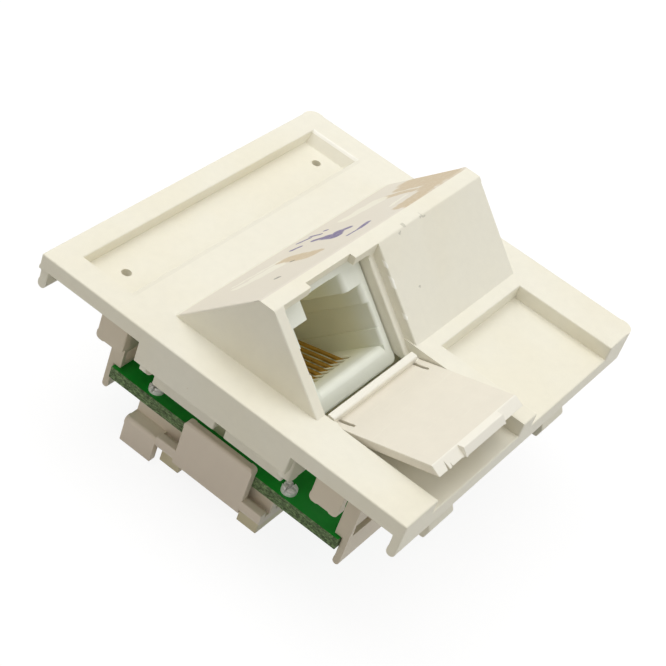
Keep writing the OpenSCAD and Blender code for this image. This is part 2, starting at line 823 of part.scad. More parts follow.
module circuit_board() color(board_green) from_rest() difference() {
    leg_d = norm([blade_t, blade_t]);
    block([-board_w / 2, board_w / 2], [-board_d / 2, board_d / 2], [board_bottom, board_top]);
    for (side = [-1, 1]) board_hole(jack_x + side * peg_x, peg_y, peg_d);
    for (i = [1:contacts]) board_hole(contact_x(i), tail_bend(i)[0], tail_d);
    for (side = [-1, 1], i = [1:blades])
        board_hole(side * strip_x, row_place(i, blades, blade_pitch), leg_d);
    for (side = [-1, 1], y = pin_y) board_hole(side * pin_x, y, split_pin_d);
}

// Split pin that ties the carrier to the board
module board_pin(i) color(bright_tin) from_rest() {
    x = i <= 2 ? -pin_x : pin_x;
    split_floor = split_head_h / 3;
    translate([x, pin_y[i % 2], board_top]) difference() {
        union() {
            translate([0, 0, -pin_l]) cylinder(d = split_pin_d, h = pin_l);
            cylinder(d = split_head_d, h = split_head_h * 2 / 3);
            cylinder(d = (split_head_d + split_pin_d) / 2, h = split_head_h);
        }
        for (turn = [0, 90]) rotate(turn)
            block([-split_w / 2, split_w / 2], [-split_head_d, split_head_d],
                [split_floor, split_head_h + cut]);
    }
}

// Rear carrier

module spring_finger() {
    outer = finger_reach;
    inner = finger_reach - carrier_t;
    top = board_top + finger_rise;
    bevel = 0.5;
    difference() {
        along_y(-finger_w / 2, finger_w / 2) polygon([
            [-outer, floor_z],
            [-outer, top - bevel / 2],
            [-outer + bevel / 2, top],
            [-inner, top],
            [-inner, floor_z]]);
        both_ends() translate([0, finger_w / 2, top])
            along_x(-outer - cut, 0) corner_waste(carrier_t / 2);
    }
    along_y(-catch_w / 2, catch_w / 2) polygon([
        [-inner - carrier_t / 2, top],
        [-inner, top],
        [-board_w / 2 + catch_grip, board_top + bevel],
        [-board_w / 2 + catch_grip, board_top],
        [-inner - carrier_t / 2, board_top]]);
}

// Floor of the spring channel with a low lip, rounded at its lower outer edge
module spring_channel() {
    lip_h = 0.8;
    difference() {
        along_y(-carrier_front, bracket_start) polygon([
            [-wall_inner, floor_z],
            [-finger_reach, floor_z],
            [-finger_reach, floor_z + carrier_t + lip_h],
            [-finger_reach + carrier_t, floor_z + carrier_t + lip_h],
            [-finger_reach + carrier_t, floor_z + carrier_t],
            [-wall_inner, floor_z + carrier_t]]);
        translate([-finger_reach, 0, floor_z]) along_y(-carrier_front - cut, bracket_start + cut)
            rotate(180) corner_waste(carrier_t - lip_h / 8);
    }
}

// Ledged foot at the carrier's back end
module back_bracket() {
    top = rest_z + bracket_h;
    edge_r = carrier_t / 2;
    difference() {
        along_y(bracket_start, carrier_back) polygon([
            [-wall_inner, top],
            [-finger_reach, top],
            [-finger_reach, rest_z],
            [-finger_reach + carrier_t, rest_z],
            [-finger_reach + carrier_t, floor_z],
            [-wall_inner, floor_z]]);
        translate([-finger_reach, 0, top]) along_y(bracket_start - cut, carrier_back + cut)
            mirror([1, 0]) corner_waste(edge_r);
    }
}

// Thin ear in front of the carrier, under the board, for a front pin
module pin_ear() {
    translate([-pin_x, -pin_front, board_bottom - ear_t]) cylinder(r = ear_r, h = ear_t);
    block([-pin_x - ear_r, -pin_x + ear_r], [-pin_front, -carrier_front + channel_end / 2],
        [board_bottom - ear_t, board_bottom]);
}

module rear_carrier() color(rear_white) from_rest() difference() {
    union() {
        block([-wall_outer, wall_outer], [-carrier_front, carrier_back], [floor_z, floor_z + carrier_t]);
        both_sides() {
            block([-wall_outer, -wall_inner], [-carrier_front, carrier_back], [floor_z, board_bottom]);
            spring_finger();
            spring_channel();
            back_bracket();
            pin_ear();
        }
    }
    both_sides() block([-wall_inner, -strip_outer + strip_w + board_play],
        [-strip_l / 2 - board_play, strip_l / 2 + board_play], [floor_z - cut, floor_z + carrier_t + cut]);
    for (side = [-1, 1], y = pin_y) translate([side * pin_x, y, board_top - pin_l])
        cylinder(d = split_pin_d + 2 * fit, h = pin_l);
}

// Termination strips

// Room that the contact wires' ends take under the board
module tail_rooms() {
    drop = tail_end + board_play;
    for (i = [1:contacts]) translate([contact_x(i), tail_bend(i)[0], board_bottom - drop])
        cylinder(d = tail_d + 2 * board_play, h = drop + cut);
}

module idc_block() {
    pocket = 0.06;
    slot_roof = 0.3;
    slot_wall = 0.6;
    half_l = strip_l / 2;
    thick = [-blade_t / 2 - pocket, blade_t / 2 + pocket];
    wide = [-blade_w / 2 - pocket, blade_w / 2 + pocket];
    difference() {
        union() {
            block([-strip_outer, -strip_outer + strip_w], [-half_l, half_l], [rest_z, board_bottom]);
            both_ends() block([-strip_outer - strip_foot, -strip_x], [half_l - strip_foot_l, half_l],
                [rest_z, floor_z]);
        }
        for (i = [1:blades]) translate([-strip_x, row_place(i, blades, blade_pitch), 0]) {
            block(thick, wide, [rest_z - cut, blade_shoulder]);
            block(thick, thick, [blade_shoulder - cut, board_bottom + cut]);
            block([-strip_w / 2 + slot_wall, strip_w], [-wire_slot / 2, wire_slot / 2],
                [rest_z - cut, floor_z - slot_roof]);
        }
        tail_rooms();
    }
}

// Forked blade with a leg through the board
module idc_contact(i) color(bright_tin) from_rest() {
    side = i <= blades ? -1 : 1;
    place = (i - 1) % blades + 1;
    blade_set = 0.5;
    low = rest_z + blade_set;
    fork = 0.4;
    fork_l = 2.6;
    mouth = 1.2;
    translate([side * strip_x, row_place(place, blades, blade_pitch), 0])
        along_x(-blade_t / 2, blade_t / 2) difference() {
            union() {
                translate([-blade_w / 2, low]) square([blade_w, blade_shoulder - low]);
                translate([-blade_t / 2, low + fork_l]) square([blade_t, board_top + blade_stub - low - fork_l]);
            }
            translate([-fork / 2, low - cut]) square([fork, fork_l + cut]);
            polygon([[-mouth / 2, low], [mouth / 2, low], [0, low + mouth]]);
        }
}

// Drawing

face_plate();
port_door();
jack_housing();
circuit_board();
rear_carrier();
color(strip_cream) from_rest() idc_block();  // idc_block_1
color(strip_cream) from_rest() mirror([1, 0, 0]) idc_block();  // idc_block_2
for (i = [1:contacts]) {
    jack_contact(i);
    idc_contact(i);
}
for (i = [1:4]) {
    board_pin(i);
}
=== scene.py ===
"""Looks for an angled one-port data outlet insert.

Every piece is a copy of its solid with the sharp edges eased, so that they catch the light as
a moulding's do. The finishes are worked out from each piece's own coordinates in millimetres.
"""

import math

import bmesh
import bpy
from bpy.props import FloatProperty, FloatVectorProperty, IntProperty, PointerProperty
from bpy.types import Operator, Panel, PropertyGroup
from mathutils import Matrix, Vector


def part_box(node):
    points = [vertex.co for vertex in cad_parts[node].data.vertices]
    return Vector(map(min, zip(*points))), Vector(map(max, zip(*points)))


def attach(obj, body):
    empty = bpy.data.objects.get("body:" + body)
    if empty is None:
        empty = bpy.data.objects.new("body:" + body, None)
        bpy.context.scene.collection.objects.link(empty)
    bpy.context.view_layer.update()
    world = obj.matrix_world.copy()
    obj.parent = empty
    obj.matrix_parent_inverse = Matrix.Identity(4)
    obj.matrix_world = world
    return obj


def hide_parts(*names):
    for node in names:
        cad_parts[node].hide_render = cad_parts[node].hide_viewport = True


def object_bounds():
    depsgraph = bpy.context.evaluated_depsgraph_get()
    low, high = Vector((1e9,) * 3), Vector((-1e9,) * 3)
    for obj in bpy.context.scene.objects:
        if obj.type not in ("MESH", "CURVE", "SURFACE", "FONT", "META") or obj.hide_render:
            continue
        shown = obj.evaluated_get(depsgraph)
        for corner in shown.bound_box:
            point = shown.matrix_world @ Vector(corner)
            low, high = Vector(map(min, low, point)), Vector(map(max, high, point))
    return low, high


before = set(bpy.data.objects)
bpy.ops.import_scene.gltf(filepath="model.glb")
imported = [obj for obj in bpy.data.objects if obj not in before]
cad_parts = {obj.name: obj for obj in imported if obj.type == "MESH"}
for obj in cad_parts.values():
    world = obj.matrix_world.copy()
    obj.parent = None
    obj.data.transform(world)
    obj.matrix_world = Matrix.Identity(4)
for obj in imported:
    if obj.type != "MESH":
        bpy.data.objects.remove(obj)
CAD_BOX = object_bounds()

bl_info = {
    "name": "Angled data outlet insert",
    "version": (1, 0, 0),
    "blender": (4, 5, 0),
    "location": "3D View > Sidebar > Outlet",
    "description": "Finishes and stage for a one-port data outlet insert with a hinged dust door",
    "category": "Object",
}

MM = 0.001
SENSOR = 36
CLIP_START = 0.005
ROOT2 = math.sqrt(2)
# Wedge: its crest's height over the plate's face, the face's own height, and the feet of both slopes
CREST_H = 8.8
FACE_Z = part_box("face_plate")[1][2] / MM - CREST_H
WEDGE_BACK = 9.8
WEDGE_FRONT = 9.9
# Distances from a slope, and heights above the foot of the back one, between which its marks fade
BACK_FADE = (0.3, 0.15)
FRONT_FADE = (0.6, 0.4)
FOOT_FADE = (0.3, 0.8)
# Board: its upper corner, and the width and soft edge of its cut rim
BOARD_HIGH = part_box("circuit_board")[1]
CUT_RIM = 0.03
CUT_SOFT = 0.02
# Shares of a mark's half size between which it fades
STROKE_FADE = (1.15, 0.75)
BOX_FADE = (1.05, 0.95)
# Dark colour of dirt and dark knocks, also of the painted shade along the label recess's front edge
DIRT_AND_SHADE = (0.12, 0.11, 0.07)
PALE = (1.0, 0.98, 0.9)
# Tan painted shade on the board seen past the jack
GAP_SHADE_TAN = (0.80, 0.74, 0.52)
# Right end wall of the label recess, with painted light on it: middle and half sizes
LIT_LABEL_END = (21.55, 18.5, 20.6)
LIT_LABEL_END_HALF = (0.3, 3.6, 0.76)
# Front edge of the label recess, with a faint line of painted shade along it
SHADED_LABEL_FRONT = (0, 14.9, 21.4)
SHADED_LABEL_FRONT_HALF = (21.5, 0.5, 0.3)
# y minus z on the jack's front, and y where the door's sill bar begins, with its soft edge; the sill bar
# gets painted light
JACK_FRONT = -27.77
SILL_Y = -10.95
SILL_SOFT = 0.04
# Hinge axis, tilt of the open door, and reach plus height of its slanted end, measured from that axis
HINGE_Y = -10.646
HINGE_Z = 19.883
DOOR_TILT = math.radians(17.7)
DOOR_END = 13.29
# Distances short of that end between which painted light comes in on the door's end
TIP_FADE = (0.17, 0.07)
# Tabs and legs under the plate, which get painted shade: range of their distance from the middle, depth
# below the face, soft edge
LEG_BAND = (12.8, 19.0)
LEG_DROP = 3.2
LEG_SOFT = 0.1
# Part of the board's top seen past the jack, with tan painted shade on it
GAP_SHADE_MIDDLE = (4.0, -4.5, 7.5)
GAP_SHADE_HALF = (12.6, 6.0, 0.1)
# Depths behind the jack's front between which a painted tint of light bounced inside it comes in
JACK_BOUNCE_DEPTHS = (0.6, 4.0)
# Least angle of a rounded edge, most between faces that shade as one, and most that counts as flat
SHARP_ANGLE = math.radians(35)
SMOOTH_ANGLE = math.radians(33)
FLAT_ANGLE = math.radians(0.5)
# Distance at which corners are one, and difference at which an edge runs straight across, in millimetres
MERGE = 1e-4
LEVEL = 1e-9
# What an edge needs to be rounded, in radii: width beside it, its length and the length of its neighbours
ROOM_NEEDED = 2.2
RUN_NEEDED = 4
NEIGHBOUR_NEEDED = 3
# Length left sharp beside a leaning neighbour, in radii over the lean's tangent, and the least lean
LEAN_ROOM = 1.5
LEAST_LEAN = 0.02
# Shares of an edge's length at which the width beside it is taken
PROBES = (0.1, 0.3, 0.5, 0.7, 0.9)
WHITE = (1, 1, 1)
# Place, side and colour of each lamp
LAMPS = {
    "top_lamp": ((0.06, 0.08, 0.62), 0.62, WHITE),
    "back_lamp": ((0.05, 0.42, 0.5), 0.5, WHITE),
    "front_lamp": ((0.22, -0.5, 0.34), 0.4, WHITE),
    "left_lamp": ((-0.6, 0.1, 0.12), 0.4, (1, 0.85, 0.64)),
}
# Floor as it lights the part, and as the camera sees it
FLOOR_LIT = (0.5, 0.5, 0.49)
FLOOR_SEEN = (0.16, 0.16, 0.16)
FLOOR_GLOW = 0.88
SKY_TINT = (1, 0.99, 0.97)

# Marks on the back slope, some from a peeled label: x and height up the slope of both ends, and half the
# width
PALE_BANDS = [
    (-13.6, 3.0, -6.4, 3.9, 0.25),
    (-14.4, 4.1, -11.8, 4.9, 0.6),
    (-11.6, 4.8, -8.2, 5.2, 1.0),
    (6.6, 3.6, 9.2, 4.2, 0.85),
    (9.5, 4.1, 12.8, 4.5, 1.15),
    (8.6, 9.3, 12.4, 8.9, 0.3),
]
# Tan patches, given in the same way
TAN_PATCHES = [
    (-7.1, 4.9, -6.1, 5.6, 0.8),
    (-6.3, 5.6, -6.1, 8.0, 1.45),
    (-5.9, 8.4, -5.2, 9.0, 0.7),
    (18.7, 5.6, 18.7, 10.6, 2.1),
    (16.2, 5.6, 16.8, 9.8, 1.2),
    (14.6, 10.9, 18.6, 10.9, 1.7),
    (7.4, 11.7, 14.6, 11.4, 1.1),
    (13.3, 4.9, 14.0, 6.5, 0.85),
    (14.2, 6.4, 14.2, 8.8, 0.7),
]
INK_STROKES = [
    (-0.2, 4.3, 0.3, 5.9, 0.5),
    (0.2, 5.9, -0.1, 7.4, 0.9),
    (0.2, 7.3, 1.5, 6.7, 0.8),
    (1.5, 6.6, 2.5, 7.5, 0.55),
    (-1.0, 9.9, 1.1, 10.1, 0.22),
    (1.2, 10.1, 3.3, 9.8, 0.38),
    (1.9, 2.1, 2.1, 3.5, 0.28),
    (3.4, 3.2, 3.4, 3.4, 0.33),
    (-2.7, 2.9, -1.8, 3.4, 0.38),
    (-0.1, 1.7, 1.3, 2.5, 0.3),
]
SLOPE_DIRT = [
    (-13.3, 9.1, -13.0, 9.2, 0.3),
    (-7.5, 6.6, -7.4, 6.8, 0.25),
]

# Knocks on the blank front slope, given in the same way
DARK_NICKS = [
    (2.7, 12.0, 3.0, 12.1, 0.18),
    (3.9, 12.4, 4.2, 12.4, 0.18),
    (7.1, 12.3, 8.0, 12.2, 0.14),
    (2.8, 5.5, 2.9, 5.5, 0.14),
]
PALE_NICKS = [
    (-1.25, 9.9, -1.2, 9.6, 0.25),
    (-1.25, 8.0, -1.25, 7.2, 0.3),
    (-1.25, 3.6, -1.25, 3.3, 0.25),
]


class OutletEdges(PropertyGroup):
    """Roundings of the moulded and pressed edges."""

    plate: FloatProperty(
        name="Plate edge", description="Rounding of the face plate's edges", default=0.2 * MM,
        unit="LENGTH")
    door: FloatProperty(
        name="Door edge", description="Rounding of the dust door's edges", default=0.12 * MM,
        unit="LENGTH")
    jack: FloatProperty(
        name="Jack edge", description="Rounding of the jack's edges", default=0.12 * MM, unit="LENGTH")
    rear: FloatProperty(
        name="Carrier edge", description="Rounding of the rear carrier's edges", default=0.15 * MM,
        unit="LENGTH")
    strip: FloatProperty(
        name="Strip edge", description="Rounding of the termination strips' edges", default=0.1 * MM,
        unit="LENGTH")
    pin: FloatProperty(
        name="Pin edge", description="Rounding of the split pins' edges", default=0.06 * MM,
        unit="LENGTH")
    wire: FloatProperty(
        name="Wire edge", description="Rounding of the contact wires' edges", default=0.05 * MM,
        unit="LENGTH")
    board: FloatProperty(
        name="Board edge", description="Rounding of the circuit board's edges", default=0.05 * MM,
        unit="LENGTH")
    steps: IntProperty(
        name="Steps", description="Facets across one rounded edge", default=3, min=1, max=6)


class OutletColours(PropertyGroup):
    """Colours of the finishes, as linear values."""

    ivory: FloatVectorProperty(
        name="Ivory", description="Face plate's plastic", default=(0.84, 0.81, 0.69), subtype="COLOR")
    ivory_aged: FloatVectorProperty(
        name="Aged ivory", description="Where the plate has yellowed", default=(0.83, 0.79, 0.65),
        subtype="COLOR")
    # Painted shade on the tabs and legs under the plate
    shade_under: FloatVectorProperty(
        name="Shaded ivory", description="Tabs and legs under the plate", default=(0.70, 0.62, 0.49),
        subtype="COLOR")
    film: FloatVectorProperty(
        name="Film", description="Dulled plastic of the back slope", default=(0.72, 0.665, 0.565),
        subtype="COLOR")
    # Tan of the back slope's patches and of the specks on the plate and door
    tan_patch: FloatVectorProperty(
        name="Tan", description="Old glue on the back slope", default=(0.58, 0.46, 0.29),
        subtype="COLOR")
    ink: FloatVectorProperty(
        name="Ink", description="Faded ink on the back slope", default=(0.09, 0.06, 0.22),
        subtype="COLOR")
    door: FloatVectorProperty(
        name="Door", description="Dust door's plastic", default=(0.80, 0.75, 0.635), subtype="COLOR")
    # Painted light on the sill bar's top and on the door's end
    sill: FloatVectorProperty(
        name="Sill", description="Cleaner plastic of the door's sill bar and end",
        default=(0.90, 0.87, 0.77), subtype="COLOR")
    # Greenish white: the plastic's own white, with a painted green tint of light bounced off the board
    jack: FloatVectorProperty(
        name="Jack", description="Jack's greenish white plastic", default=(0.87, 0.89, 0.79),
        subtype="COLOR")
    # Painted yellow tint of light bounced about inside the jack
    jack_bounce: FloatVectorProperty(
        name="Jack inside", description="Yellowed plastic inside the jack", default=(0.86, 0.85, 0.65),
        subtype="COLOR")
    gold: FloatVectorProperty(
        name="Gold", description="Plating of the contact wires", default=(0.62, 0.37, 0.08),
        subtype="COLOR")
    mask: FloatVectorProperty(
        name="Solder mask", description="Green lacquer of the board", default=(0.0, 0.30, 0.02),
        subtype="COLOR")
    laminate: FloatVectorProperty(
        name="Laminate", description="Cut glass fibre at the board's edges", default=(0.13, 0.19, 0.09),
        subtype="COLOR")
    rear: FloatVectorProperty(
        name="Carrier", description="Rear carrier's plastic", default=(0.80, 0.705, 0.585),
        subtype="COLOR")
    strip: FloatVectorProperty(
        name="Strip", description="Termination strips' plastic", default=(0.78, 0.71, 0.49),
        subtype="COLOR")
    tin: FloatVectorProperty(
        name="Tin", description="Tinned blades and solder", default=(0.62, 0.61, 0.58), subtype="COLOR")
    nylon: FloatVectorProperty(
        name="Nylon", description="White nylon of the split pins", default=(0.90, 0.90, 0.88),
        subtype="COLOR")


class OutletStage(PropertyGroup):
    """Camera, lamps, floor and background."""

    camera_place: FloatVectorProperty(
        name="Camera place", description="Where the camera stands", default=(-0.15257, -0.06386, 0.14808),
        subtype="TRANSLATION", precision=5)
    camera_turn: FloatVectorProperty(
        name="Camera turn", description="How the camera is turned",
        default=(math.radians(49.2717), math.radians(-16.6161), math.radians(-53.96)), subtype="EULER")
    lens: FloatProperty(
        name="Lens", description="Focal length on a 36 mm sensor", default=99.503, unit="CAMERA")
    shift: FloatVectorProperty(
        name="Shift", description="Offset of the picture's middle, as a share of its width",
        default=(-0.02718, 0.00255), size=2, precision=5)
    sky: FloatProperty(
        name="Sky", description="Level of the even light from all around", default=0.4)
    top_lamp: FloatProperty(
        name="Top lamp", description="Power of the broad lamp overhead", default=1.85, unit="POWER")
    back_lamp: FloatProperty(
        name="Back lamp", description="Power of the lamp above the back", default=1.15, unit="POWER")
    left_lamp: FloatProperty(
        name="Left lamp", description="Power of the low warm lamp on the left", default=0.28,
        unit="POWER")
    front_lamp: FloatProperty(
        name="Front lamp", description="Power of the weaker lamp in front", default=0.76, unit="POWER")
    floor_size: FloatProperty(
        name="Floor", description="Side of the square floor", default=4.0, unit="LENGTH")


class Wire:
    """One output of a shader node, which can stand in a sum as a number does."""

    def __init__(self, bench, socket):
        self.bench = bench
        self.socket = socket

    def output(self, name):
        """Another output of the same node."""
        return Wire(self.bench, self.socket.node.outputs[name])

    def __add__(self, other):
        return self.bench.maths("ADD", self, other)

    def __radd__(self, other):
        return self.bench.maths("ADD", other, self)

    def __sub__(self, other):
        return self.bench.maths("SUBTRACT", self, other)

    def __rsub__(self, other):
        return self.bench.maths("SUBTRACT", other, self)

    def __mul__(self, other):
        return self.bench.maths("MULTIPLY", self, other)

    def __rmul__(self, other):
        return self.bench.maths("MULTIPLY", other, self)

    def __truediv__(self, other):
        return self.bench.maths("DIVIDE", self, other)

    def __rtruediv__(self, other):
        return self.bench.maths("DIVIDE", other, self)

    def __abs__(self):
        return self.bench.maths("ABSOLUTE", self)

    def __or__(self, other):
        return self.bench.maths("MAXIMUM", self, other)

    def __and__(self, other):
        return self.bench.maths("MINIMUM", self, other)


class Bench:
    """A node tree that is being filled."""

    def __init__(self, owner):
        owner.use_nodes = True
        self.tree = owner.node_tree
        self.tree.nodes.clear()

    def node(self, kind, settings=None, sockets=None, out=0):
        """Adds a node, sets it up, feeds its sockets and gives one of its outputs."""
        made = self.tree.nodes.new(kind)
        for key, value in (settings or {}).items():
            if key == "stops":
                self.lay_stops(made.color_ramp, value)
            else:
                setattr(made, key, value)
        for key, value in (sockets or {}).items():
            socket = next(s for s in made.inputs if s.identifier == key)
            if isinstance(value, Wire):
                self.tree.links.new(value.socket, socket)
            elif socket.type == "RGBA":
                socket.default_value = (*value[:3], 1)
            else:
                socket.default_value = value
        if not made.outputs:
            return None
        return Wire(self, made.outputs[out])

    def lay_stops(self, ramp, stops):
        """Puts the given places and colours on a colour ramp."""
        while len(ramp.elements) < len(stops):
            ramp.elements.new(1)
        for element, (place, colour) in zip(ramp.elements, stops):
            element.position = place
            element.color = (*colour[:3], 1)

    def maths(self, operation, first, second=0.0):
        return self.node("ShaderNodeMath", {"operation": operation}, {
            "Value": first, "Value_001": second})

    def vector(self, operation, first, second, out=0):
        key = "Scale" if operation == "SCALE" else "Vector_001"
        return self.node("ShaderNodeVectorMath", {"operation": operation}, {
            "Vector": first, key: second}, out)

    def place(self):
        """Object coordinates in millimetres."""
        coordinates = self.node("ShaderNodeTexCoord", out="Object")
        return self.vector("SCALE", coordinates, 1 / MM)

    def axes(self, vector):
        """The three parts of a vector."""
        x = self.node("ShaderNodeSeparateXYZ", None, {"Vector": vector}, "X")
        return x, x.output("Y"), x.output("Z")

    def noise(self, place, per_mm, detail=2.0, roughness=0.5, out="Fac"):
        return self.node("ShaderNodeTexNoise", None, {
            "Vector": place, "Scale": per_mm, "Detail": detail, "Roughness": roughness}, out)

    def cells(self, place, per_mm, out="Distance"):
        return self.node("ShaderNodeTexVoronoi", None, {"Vector": place, "Scale": per_mm}, out)

    def fade(self, value, low, high):
        """0 below low, 1 above high and a smooth step between them; a low above high turns it round."""
        return self.node("ShaderNodeMapRange", {"interpolation_type": "SMOOTHSTEP"}, {
            "Value": value, "From Min": low, "From Max": high})

    def blend(self, first, second, factor):
        """Goes from the first colour to the second."""
        return self.node("ShaderNodeMix", {"data_type": "RGBA"}, {
            "Factor_Float": factor, "A_Color": first, "B_Color": second}, 2)

    def tint(self, colour, shade):
        """Multiplies a colour by a grey value."""
        grey = self.node("ShaderNodeCombineColor", None, {"Red": shade, "Green": shade, "Blue": shade})
        return self.node("ShaderNodeMix", {"data_type": "RGBA", "blend_type": "MULTIPLY"}, {
            "Factor_Float": 1.0, "A_Color": colour, "B_Color": grey}, 2)

    def bump(self, height, depth, strength=1.0):
        """A relief of that depth in metres."""
        return self.node("ShaderNodeBump", None, {
            "Strength": strength, "Distance": depth, "Height": height})

    def surface(self, sockets):
        shader = self.node("ShaderNodeBsdfPrincipled", None, sockets)
        self.node("ShaderNodeOutputMaterial", None, {"Surface": shader})

    def stroke(self, point, x0, y0, x1, y1, half):
        """Mask of a round-ended stroke on a flat pattern."""
        run = Vector((x1 - x0, y1 - y0, 0))
        length = run.length
        along = tuple(run / length)
        offset = self.vector("SUBTRACT", point, (x0, y0, 0))
        reach = (self.vector("DOT_PRODUCT", offset, along, "Value") & length) | 0.0
        nearest = self.vector("SCALE", along, reach)
        gap = self.vector("DISTANCE", offset, nearest, "Value")
        return self.fade(gap, half * STROKE_FADE[0], half * STROKE_FADE[1])

    def box_mask(self, point, middle, half):
        """1 inside a box of those half sizes and 0 outside it."""
        x, y, z = self.axes(self.vector("SUBTRACT", point, middle))
        over = (abs(x) / half[0]) | (abs(y) / half[1]) | (abs(z) / half[2])
        return self.fade(over, *BOX_FADE)

    def strokes(self, point, marks):
        """Mask of several strokes together."""
        mask = self.stroke(point, *marks[0])
        for mark in marks[1:]:
            mask = mask | self.stroke(point, *mark)
        return mask


def new_finish(name):
    material = bpy.data.materials.new(name)
    return material, Bench(material)


def specks(bench, place, per_mm, size, share):
    """Mask of small round specks in a share of the cells."""
    distance = bench.cells(place, per_mm)
    chance = bench.node("ShaderNodeSeparateColor", None, {
        "Color": bench.cells(place, per_mm, "Color")}, "Red")
    return bench.fade(distance, size, size * 0.5) * bench.fade(chance, 1 - share, 1 - share + 0.01)


def ragged_shift(bench, flat, per_mm, detail, reach):
    """Moves the points of a flat pattern about, so that its marks get ragged edges."""
    wobble = bench.noise(flat, per_mm, detail, 0.6, "Color")
    return bench.vector("SCALE", bench.vector("SUBTRACT", wobble, (0.5, 0.5, 0.5)), reach)


def slope_marks(bench, place, tone, colours):
    """Lays marks on the wedge's back slope: a darker film and faded ink from a peeled label, paler bands,
    tan patches and dirt.
    """
    x, y, z = bench.axes(place)
    up = (z - FACE_Z) * ROOT2
    off_plane = abs(y + z - (WEDGE_BACK + FACE_Z))
    on_slope = bench.fade(off_plane, *BACK_FADE) * bench.fade(up, *FOOT_FADE)
    flat = bench.node("ShaderNodeCombineXYZ", None, {"X": x, "Y": up})
    shift = ragged_shift(bench, flat, 0.9, 4.0, 0.9)
    ragged = bench.vector("ADD", flat, shift)
    patchy = bench.fade(bench.noise(flat, 1.7, 4.0, 0.65), 0.34, 0.56)
    film = bench.blend(tone, colours.film, on_slope * 0.85)
    pale_band = bench.strokes(ragged, PALE_BANDS) * on_slope
    tan_patch = bench.strokes(ragged, TAN_PATCHES) * on_slope * (0.7 + 0.2 * patchy)
    patched = bench.blend(film, colours.tan_patch, tan_patch)
    banded = bench.blend(patched, colours.ivory, pale_band * 0.9)
    torn = bench.vector("ADD", flat, bench.vector("SCALE", shift, 0.45))
    ink = bench.strokes(torn, INK_STROKES) * on_slope * (0.7 + 0.25 * patchy)
    inked = bench.blend(banded, colours.ink, ink)
    dirt = bench.strokes(torn, SLOPE_DIRT) * on_slope
    return bench.blend(inked, DIRT_AND_SHADE, dirt * 0.75), pale_band | tan_patch


def front_knocks(bench, place, tone):
    """Lays small knocks along the edges of the blank front slope."""
    x, y, z = bench.axes(place)
    up = (z - FACE_Z) * ROOT2
    on_slope = bench.fade(abs(z - y - (WEDGE_FRONT + FACE_Z)), *FRONT_FADE)
    flat = bench.node("ShaderNodeCombineXYZ", None, {"X": x, "Y": up})
    ragged = bench.vector("ADD", flat, ragged_shift(bench, flat, 2.4, 3.0, 0.7))
    dark = bench.strokes(ragged, DARK_NICKS) * on_slope
    pale = bench.strokes(ragged, PALE_NICKS) * on_slope
    shaded = bench.blend(tone, DIRT_AND_SHADE, dark * 0.3)
    return bench.blend(shaded, PALE, pale), dark


def shaded_under_plate(bench, place):
    """Mask of the corner tabs and the legs, where shade is painted on."""
    _, y, z = bench.axes(place)
    reach = abs(y)
    beyond = bench.fade(reach, LEG_BAND[0] - LEG_SOFT, LEG_BAND[0] + LEG_SOFT)
    within = bench.fade(reach, LEG_BAND[1] + LEG_SOFT, LEG_BAND[1] - LEG_SOFT)
    low = bench.fade(FACE_Z - z, LEG_DROP - 2 * LEG_SOFT, LEG_DROP + 2 * LEG_SOFT)
    return beyond * within * low


def aged_ivory(colours):
    """Face plate's ivory: faint yellowing, grain, specks, the back slope's marks, painted shade under the
    plate and along the label recess's front edge, and painted light on the recess's right end wall.
    """
    material, bench = new_finish("aged_ivory")
    place = bench.place()
    broad = bench.fade(bench.noise(place, 0.06, 3.0), 0.35, 0.65)
    mottle = bench.noise(place, 0.9, 4.0, 0.6)
    grain = bench.noise(place, 7.0, 3.0, 0.6)
    tone = bench.blend(colours.ivory, colours.ivory_aged, broad)
    # Painted shade on the tabs and legs under the plate
    tone = bench.blend(tone, colours.shade_under, shaded_under_plate(bench, place))
    tone = bench.tint(tone, 0.965 + 0.07 * mottle)
    marked, slope_patches = slope_marks(bench, place, tone, colours)
    knocks_light_and_shade, dents = front_knocks(bench, place, marked)
    # Painted light on the label recess's right end wall
    knocks_light_and_shade = bench.blend(knocks_light_and_shade, PALE, bench.box_mask(place, LIT_LABEL_END, LIT_LABEL_END_HALF))
    # Faint painted shade along the label recess's front edge
    knocks_light_and_shade = bench.blend(knocks_light_and_shade, DIRT_AND_SHADE, 0.06 * bench.box_mask(place, SHADED_LABEL_FRONT, SHADED_LABEL_FRONT_HALF))
    dirt = specks(bench, place, 0.28, 0.045, 0.16)
    colour = bench.blend(knocks_light_and_shade, colours.tan_patch, dirt * 0.55)
    scratch = bench.noise(bench.vector("MULTIPLY", place, (0.5, 4.0, 4.0)), 1.2, 3.0, 0.7)
    worn = bench.fade(scratch, 0.6, 0.75)
    bench.surface({
        "Base Color": colour,
        "Roughness": 0.4 + 0.14 * mottle - 0.08 * worn + 0.1 * slope_patches,
        "Normal": bench.bump(grain + 0.4 * mottle + 0.3 * slope_patches - 2.0 * dents, 0.012 * MM),
        "IOR": 1.5,
    })
    return material


